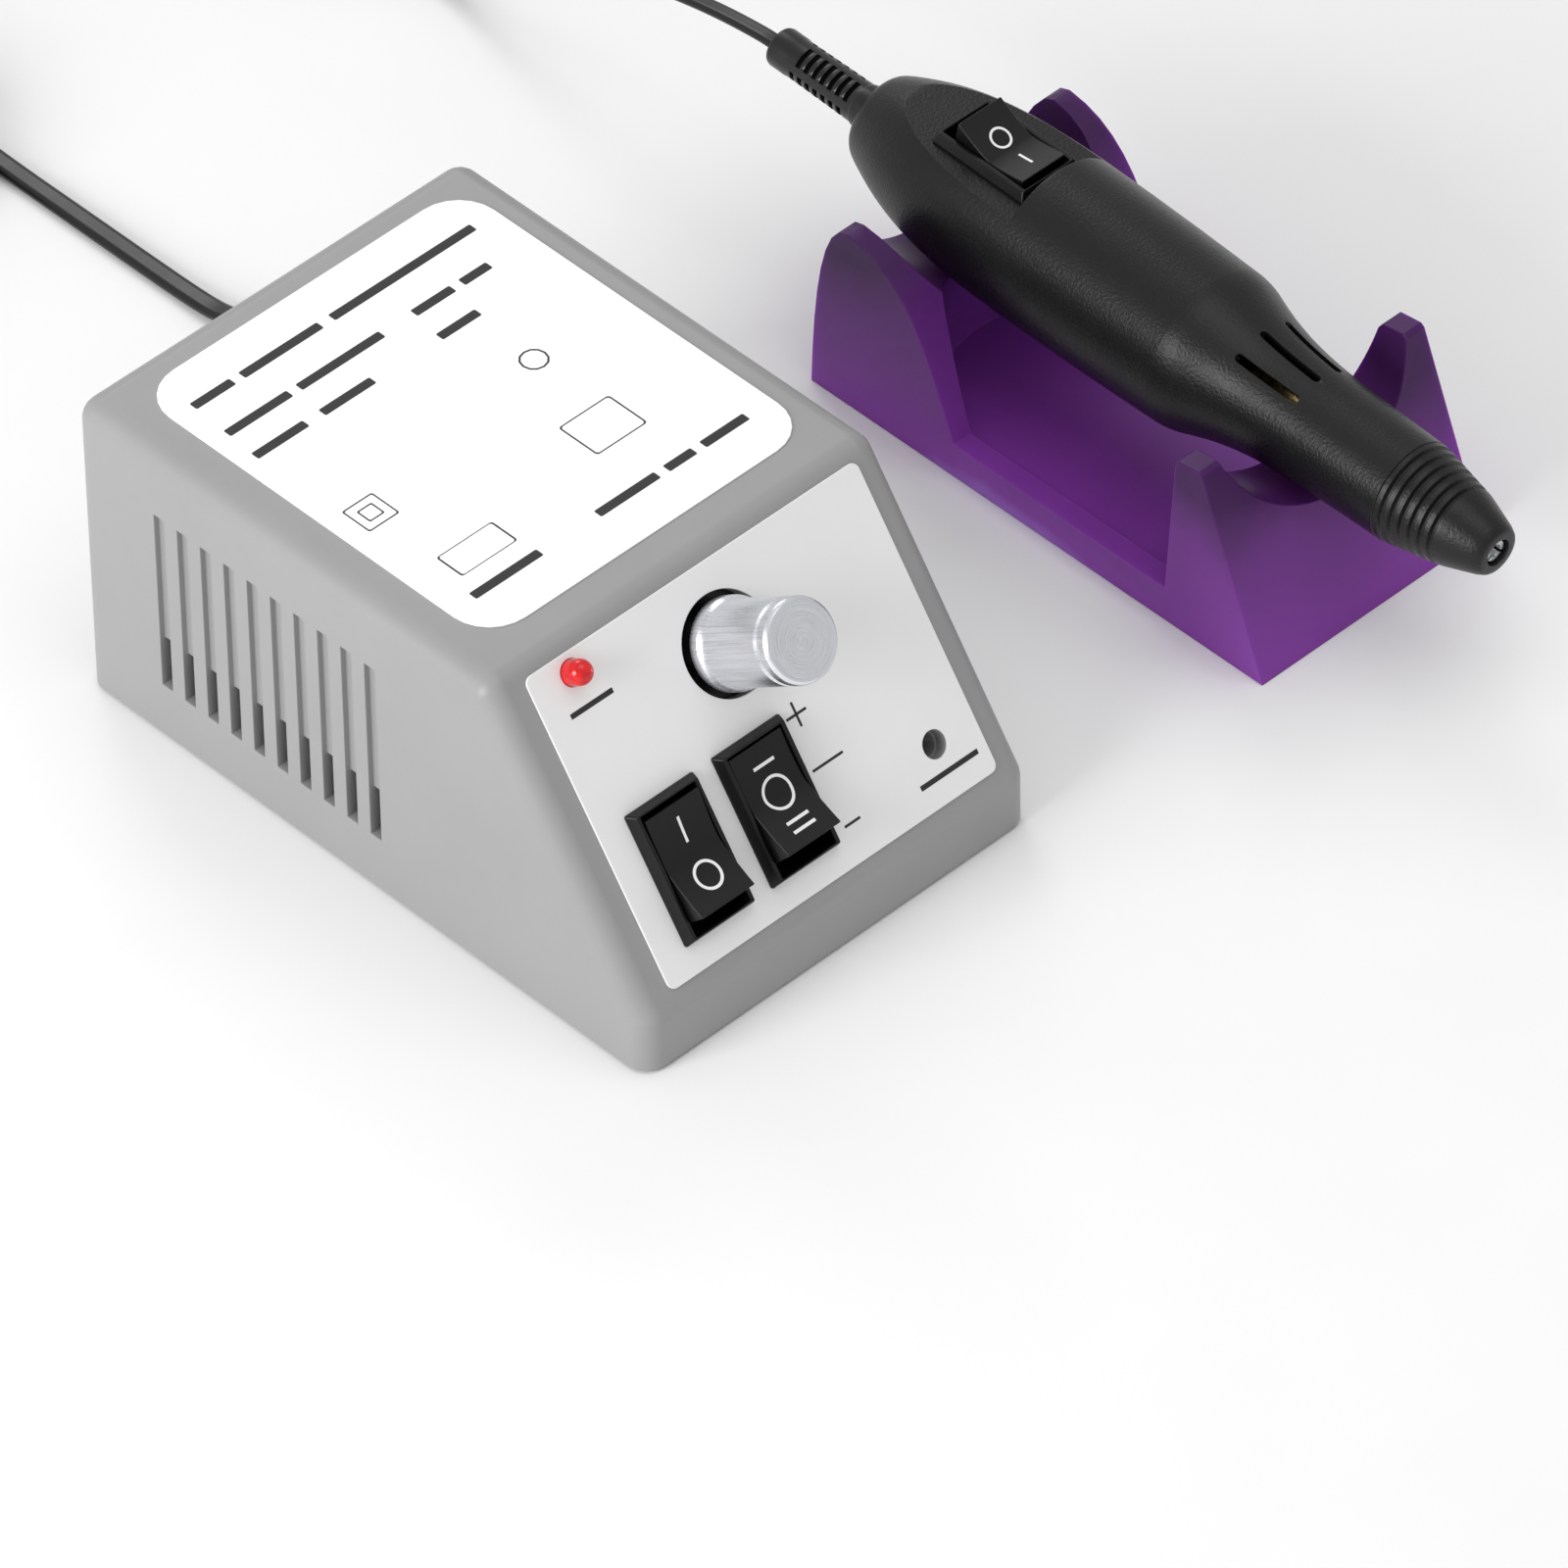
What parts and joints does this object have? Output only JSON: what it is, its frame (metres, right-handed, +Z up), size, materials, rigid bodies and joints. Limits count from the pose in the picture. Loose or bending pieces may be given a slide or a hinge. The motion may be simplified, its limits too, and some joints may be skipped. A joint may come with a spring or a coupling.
{
  "type": "electric nail drill",
  "caption": "Grey wedge-shaped nail drill control unit with speed knob and rocker switches, and a black rotary handpiece with its own switch lying in a purple cradle.",
  "frame": {"origin": "bottom centre of the set: unit, stand and handpiece, without the cords", "axes": "+Z up, the unit's sloping control panel faces -Y, +X from the unit to the stand"},
  "size_m": [0.2312, 0.3306, 0.0657],
  "materials": {
    "grey_plastic": "satin",
    "rubber": "matte",
    "steel": "brushed",
    "white_label": "satin",
    "aluminium": "brushed",
    "brown_board": "matte",
    "black_plastic": "satin",
    "brass": "plain",
    "red_lens": "gloss",
    "core_iron": "plain",
    "ivory_plastic": "plain",
    "copper_winding": "enamelled",
    "green_board": "satin",
    "blue_sleeve": "gloss",
    "clear_glass": "clear",
    "carbon": "matte",
    "cord_rubber": "satin",
    "purple_acrylic": "translucent"
  },
  "bodies": {
    "set": {"unit_housing": "grey_plastic", "base_plate": "grey_plastic", "rubber_feet": "rubber", "base_screws": "steel", "top_label": "white_label", "front_panel": "white_label", "potentiometer_body": "brown_board", "potentiometer_nut": "steel", "potentiometer_bracket": "black_plastic", "power_switch_housing": "black_plastic", "power_switch_terminals": "brass", "polarity_switch_housing": "black_plastic", "polarity_switch_terminals": "brass", "lamp_lens": "red_lens", "dc_jack_body": "grey_plastic", "dc_jack_pin": "brass", "transformer_core": "core_iron", "transformer_bobbin": "ivory_plastic", "transformer_winding": "copper_winding", "transformer_screws": "steel", "circuit_board": "green_board", "smoothing_capacitor": "blue_sleeve", "rectifier_diodes": "black_plastic", "fuse": "clear_glass", "board_screws": "steel", "mains_strain_relief": "cord_rubber", "mains_cord": "cord_rubber", "mains_cord_coil": "cord_rubber", "mains_cord_tie": "cord_rubber", "mains_plug_body": "black_plastic", "mains_plug_pins": "steel", "handpiece_cord": "cord_rubber", "handpiece_cord_coil": "cord_rubber", "handpiece_cord_tie": "cord_rubber", "dc_plug_body": "black_plastic", "dc_plug_barrel": "steel", "stand": "purple_acrylic"},
    "knob": {"speed_knob": "aluminium", "potentiometer_shaft": "steel"},
    "power_rocker": {"power_rocker": "black_plastic"},
    "polarity_rocker": {"polarity_rocker": "black_plastic"},
    "handpiece": {"rear_shell": "black_plastic", "front_shell": "black_plastic", "nose_cone": "black_plastic", "hand_switch_housing": "black_plastic", "hand_switch_terminals": "brass", "motor_can": "steel", "motor_magnets": "core_iron", "motor_end_cap": "ivory_plastic", "motor_brushes": "carbon", "front_bearing": "steel", "rear_bearing": "steel", "cord_boot": "cord_rubber"},
    "hand_rocker": {"hand_rocker": "black_plastic"},
    "spindle": {"motor_armature": "copper_winding", "commutator": "brass", "motor_shaft": "steel", "shaft_coupling": "brass", "collet_spindle": "steel"}
  },
  "joints": [
    {"name": "speed_knob_turn", "type": "hinge", "parent": "set", "child": "knob", "pos_m": [-0.0487, -0.02326, 0.04809], "axis": [0, -0.8195, 0.573], "range_deg": [0, 300]},
    {"name": "power_switch_rock", "type": "hinge", "parent": "set", "child": "power_rocker", "pos_m": [-0.072, -0.03665, 0.02597], "axis": [1, 0, 0], "range_deg": [0, 20]},
    {"name": "polarity_switch_rock", "type": "hinge", "parent": "set", "child": "polarity_rocker", "pos_m": [-0.0532, -0.03665, 0.02597], "axis": [1, 0, 0], "range_deg": [0, 30]},
    {"name": "handpiece_lift", "type": "slide", "parent": "set", "child": "handpiece", "axis": [0, 0, 1], "range_m": [0, 0.035]},
    {"name": "hand_switch_rock", "type": "hinge", "parent": "handpiece", "child": "hand_rocker", "pos_m": [0.0666, 0.03062, 0.04347], "axis": [-1, 0, 0], "range_deg": [0, 20]},
    {"name": "spindle_spin", "type": "hinge", "parent": "handpiece", "child": "spindle", "pos_m": [0.0666, -0.08093, 0.03021], "axis": [0, 0.9992, 0.0408], "continuous": true}
  ]
}
